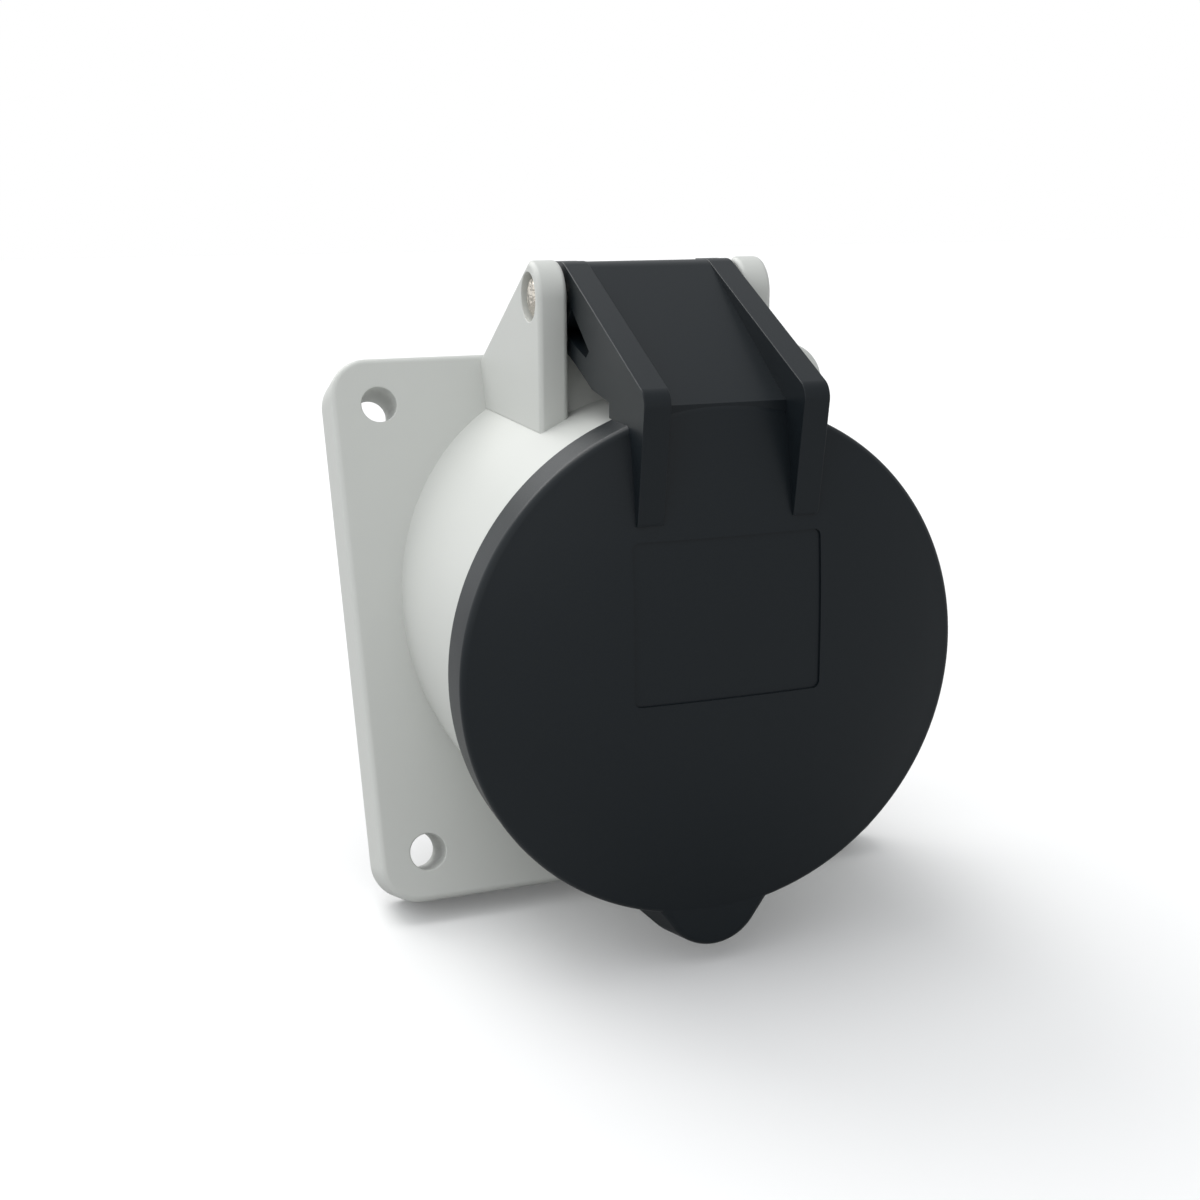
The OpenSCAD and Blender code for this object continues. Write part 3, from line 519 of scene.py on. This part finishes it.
def tab_ring(share, inset, n=24):
    """Outline of the finger tab, from its front face (share 0) to its wider back (share 1)."""
    (b0, r0, lean0), (b1, r1, lean1) = TAB_FRONT, TAB_REAR
    centre, r = b0 + (b1 - b0) * share, r0 + (r1 - r0) * share - inset
    lean = lean0 + (lean1 - lean0) * share
    tip = arc(0, centre, r, lean - 180, -lean, n)
    side = tip[-1][0] + (TAB_ROOT - tip[-1][1]) * math.tan(math.radians(lean))
    return [(-side, TAB_ROOT)] + tip + [(side, TAB_ROOT)]


def tube_of(bm, rings):
    """Closed tube through rings of vertices."""
    for low, high in zip(rings, rings[1:]):
        for k in range(len(low)):
            bm.faces.new((low[k - 1], low[k], high[k], high[k - 1]))
    for ring in (rings[0], rings[-1]):
        bm.faces.new(ring)
    bmesh.ops.recalc_face_normals(bm, faces=bm.faces)
    return bm


def lid_tab():
    levels = [(TAB_BACK, 0.35), (TAB_BACK + 0.1, 0.1), (TAB_BACK + 0.35, 0), (TAB_FACE - TAB_EDGE, 0)]
    levels += [(TAB_FACE - TAB_EDGE * (1 - math.sin(a)), TAB_EDGE * (1 - math.cos(a)))
               for a in (math.radians(18 * i) for i in range(1, 6))]
    bm = bmesh.new()
    rings = []
    for c, inset in levels:
        share = min(1, (TAB_FACE - c) / (TAB_FACE - TAB_BACK))
        rings.append([bm.verts.new(Vector((x, b, c)) * MM) for x, b in tab_ring(share, inset)])
    inside_cap = turned([(0, 30), (34.9, 30), (34.9, 41.5), (0, 41.5)])
    return placed(carved(tube_of(bm, rings), inside_cap))


whole_lid = merged(lid_cap(), [lid_arm(False), lid_arm(True), lid_cover(), lid_tab()], "UNION")
piece("lid_moulding", whole_lid, "lid_body", BLACK, ["lid"])

# Hinge pin with its domed head, cap and torsion spring

dome = [(HEAD_R * math.sin(math.radians(9 * i)), HEAD_EDGE + HEAD_DOME * math.cos(math.radians(9 * i)))
        for i in range(11)]
pin = across(dome + [(HEAD_R, HEAD_FACE), (PIN_R, HEAD_FACE), (PIN_R, PIN_END), (0, PIN_END)], mirrored=True)
piece("hinge_pin_turned", placed(pin), "socket_body", RIVETED, ["hinge_pin"])
cap_r = PIN_R + CAP_PLAY
cap = across(dome + [(HEAD_R, HEAD_FACE), (cap_r, HEAD_FACE), (cap_r, CAP_FLOOR), (0, CAP_FLOOR)])
piece("pin_cap_pressed", placed(cap), "socket_body", STEEL, ["pin_cap"])


def spring_points():
    """Centre line of the spring: leg on the web, coil round the pin, leg on the lid."""
    coil_r, turns, pitch, left, per_turn, back_leg, lid_end = 2.8, 9, 1.1, -6, 32, 5.4, 37.2
    leg_x = left + pitch * turns
    end = Vector((leg_x, math.sqrt(LID_R ** 2 - leg_x ** 2) + WIRE_R + 0.03, lid_end))
    drop, along = PIN_B - end.y, end.z - PIN_C
    first = -math.pi / 2 + TILT
    last = 2 * math.pi * turns - math.acos(coil_r / math.hypot(drop, along)) - math.atan2(drop, along)
    steps = turns * per_turn
    coil = []
    for i in range(steps + 1):
        a = first + (last - first) * i / steps
        coil.append(Vector((left + pitch * turns * i / steps, PIN_B + coil_r * math.sin(a),
                            PIN_C + coil_r * math.cos(a))))
    back = Vector((0, math.sin(TILT), math.cos(TILT)))
    return ([coil[0] - back_leg * back, coil[0] - back_leg / 2 * back] + coil
            + [coil[-1].lerp(end, t / 4) for t in range(1, 5)])


def swept(points, radius, sides=12):
    """Round wire along a line of points."""
    bm = bmesh.new()
    rings, across_wire = [], Vector((1, 0, 0))
    for i, point in enumerate(points):
        along = (points[min(i + 1, len(points) - 1)] - points[max(i - 1, 0)]).normalized()
        across_wire = (across_wire - along * across_wire.dot(along)).normalized()
        other = along.cross(across_wire)
        turns = [2 * math.pi * k / sides for k in range(sides)]
        rings.append([bm.verts.new((point + radius * (math.cos(t) * across_wire + math.sin(t) * other)) * MM)
                      for t in turns])
    return placed(tube_of(bm, rings))


spring = piece("lid_spring_wound", swept(spring_points(), WIRE_R), None, STEEL, sharp=50)
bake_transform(spring)
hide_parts("lid_spring")

# The insert, its contacts and screws, and the seals keep the source's shapes with smooth shading


def dressed(node, body, material):
    """Finished piece from the solid of its node."""
    bm = bmesh.new()
    bm.from_mesh(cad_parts[node].data)
    bmesh.ops.remove_doubles(bm, verts=bm.verts, dist=2e-6)
    piece(node + "_finished", bm, body, material, [node], sharp=28)


dressed("contact_carrier", "socket_body", INSULATOR)
dressed("terminal_block", "socket_body", INSULATOR)
dressed("lid_seal", "lid_body", RUBBER)
dressed("flange_seal", "socket_body", RUBBER)
dressed("carrier_screws", "socket_body", STEEL)
for place in ("1", "2", "3", "neutral", "earth"):
    dressed("contact_" + place, "socket_body", BRASS)
    dressed("sleeve_spring_" + place, "socket_body", STEEL)
    dressed("terminal_screw_" + place, "socket_body", STEEL)

# Stage: a pale floor that the flange's lower edge stands on, tilted as the socket lies on it

FLOOR_Z, FLOOR_HALF = -42.6, 3
FLOOR_WHITE, FLOOR_GLOW, FLOOR_BOUNCE = 0.84, 0.08, 0.45
SKY_EDGE, SKY_LEFT, SKY_RIGHT, SKY_COLOUR = 0.6, 1.12, 0.545, (0.97, 0.985, 1.0)


def cleared_tree(owner):
    """Empty node tree of a material or the world, as a maker of nodes and a maker of links."""
    owner.use_nodes = True
    nodes = owner.node_tree.nodes
    nodes.clear()

    def add(kind, values=None):
        node = nodes.new("ShaderNode" + kind)
        for label, value in (values or {}).items():
            node.inputs[label].default_value = value
        return node

    return add, owner.node_tree.links.new


def floor_material():
    """Matt white with a little glow to the camera, clear from below, dimmer in the light that it throws back."""
    material = bpy.data.materials.new("Pale floor")
    add, link = cleared_tree(material)
    out, path, side = add("OutputMaterial"), add("LightPath"), add("NewGeometry")
    matt = add("BsdfDiffuse", {"Color": (FLOOR_WHITE, FLOOR_WHITE, FLOOR_WHITE, 1)})
    glow = add("Emission", {"Strength": FLOOR_GLOW})
    dim = add("BsdfDiffuse", {"Color": (FLOOR_BOUNCE, FLOOR_BOUNCE, FLOOR_BOUNCE, 1)})
    clear, both, lit, shown = add("BsdfTransparent"), add("AddShader"), add("MixShader"), add("MixShader")
    seen = add("Math")
    seen.operation = "MULTIPLY"
    link(matt.outputs[0], both.inputs[0])
    link(glow.outputs[0], both.inputs[1])
    link(path.outputs["Is Camera Ray"], lit.inputs[0])
    link(dim.outputs[0], lit.inputs[1])
    link(both.outputs[0], lit.inputs[2])
    link(path.outputs["Is Camera Ray"], seen.inputs[0])
    link(side.outputs["Backfacing"], seen.inputs[1])
    link(seen.outputs[0], shown.inputs[0])
    link(lit.outputs[0], shown.inputs[1])
    link(clear.outputs[0], shown.inputs[2])
    link(shown.outputs[0], out.inputs["Surface"])
    return material


ground = bmesh.new()
bmesh.ops.create_grid(ground, x_segments=2, y_segments=2, size=FLOOR_HALF)
floor = meshed("floor", placed(ground, Matrix.Translation((0, 0, FLOOR_Z * MM)) @ Matrix.Rotation(TILT, 4, "X")))
floor.data.materials.append(floor_material())


def sky():
    """Plain white to the camera, a bright left and a dimmer right for the light."""
    world = bpy.data.worlds.new("Studio")
    bpy.context.scene.world = world
    add, link = cleared_tree(world)
    out, way, split, path, mix = (add(kind) for kind in ("OutputWorld", "TexCoord", "SeparateXYZ", "LightPath",
                                                         "MixShader"))
    across_sky = add("MapRange", {"From Min": -SKY_EDGE, "From Max": SKY_EDGE, "To Min": SKY_LEFT,
                                  "To Max": SKY_RIGHT})
    light = add("Background", {"Color": (*SKY_COLOUR, 1)})
    white = add("Background", {"Color": (1, 1, 1, 1)})
    link(way.outputs["Generated"], split.inputs[0])
    link(split.outputs["X"], across_sky.inputs["Value"])
    link(across_sky.outputs["Result"], light.inputs["Strength"])
    link(path.outputs["Is Camera Ray"], mix.inputs[0])
    link(light.outputs[0], mix.inputs[1])
    link(white.outputs[0], mix.inputs[2])
    link(mix.outputs[0], out.inputs["Surface"])


sky()


def sun(name, direction, strength, angle, colour=(1, 1, 1)):
    """Distant light from a direction, as wide across as the angle in degrees."""
    data = bpy.data.lights.new(name, "SUN")
    data.energy = strength
    data.angle = math.radians(angle)
    data.color = colour
    in_scene(name, data).rotation_euler = Vector(direction).to_track_quat("Z", "Y").to_euler()


sun("key", (-0.3, 0.4, 0.87), 1.02, 40, (1.0, 0.99, 0.97))
sun("overhead", (-0.2, -0.2, 0.96), 0.65, 30)

# Camera as the photograph was taken: place in millimetres, turns in radians, focal length in the photograph's pixels
EYE_AT = (-81.823, -247.415, -18.361)
YAW, PITCH, ROLL, FOCAL, FRAME_W, SENSOR_W = 0.322087, -0.077593, -0.119315, 1551.9, 1200, 36
ahead = Vector((math.sin(YAW) * math.cos(PITCH), math.cos(YAW) * math.cos(PITCH), -math.sin(PITCH)))
level = Vector((math.cos(YAW), -math.sin(YAW), 0))
rise = level.cross(ahead)
right = math.cos(ROLL) * level + math.sin(ROLL) * rise
up = -math.sin(ROLL) * level + math.cos(ROLL) * rise
eye = bpy.data.cameras.new("camera")
eye.sensor_width = SENSOR_W
eye.lens = SENSOR_W * FOCAL / FRAME_W
eye.clip_start = 0.01
view = in_scene("camera", eye)
view.matrix_world = Matrix.Translation(Vector(EYE_AT) * MM) @ Matrix((right, up, -ahead)).transposed().to_4x4()
bpy.context.scene.camera = view
bpy.context.scene.view_settings.view_transform = "Standard"
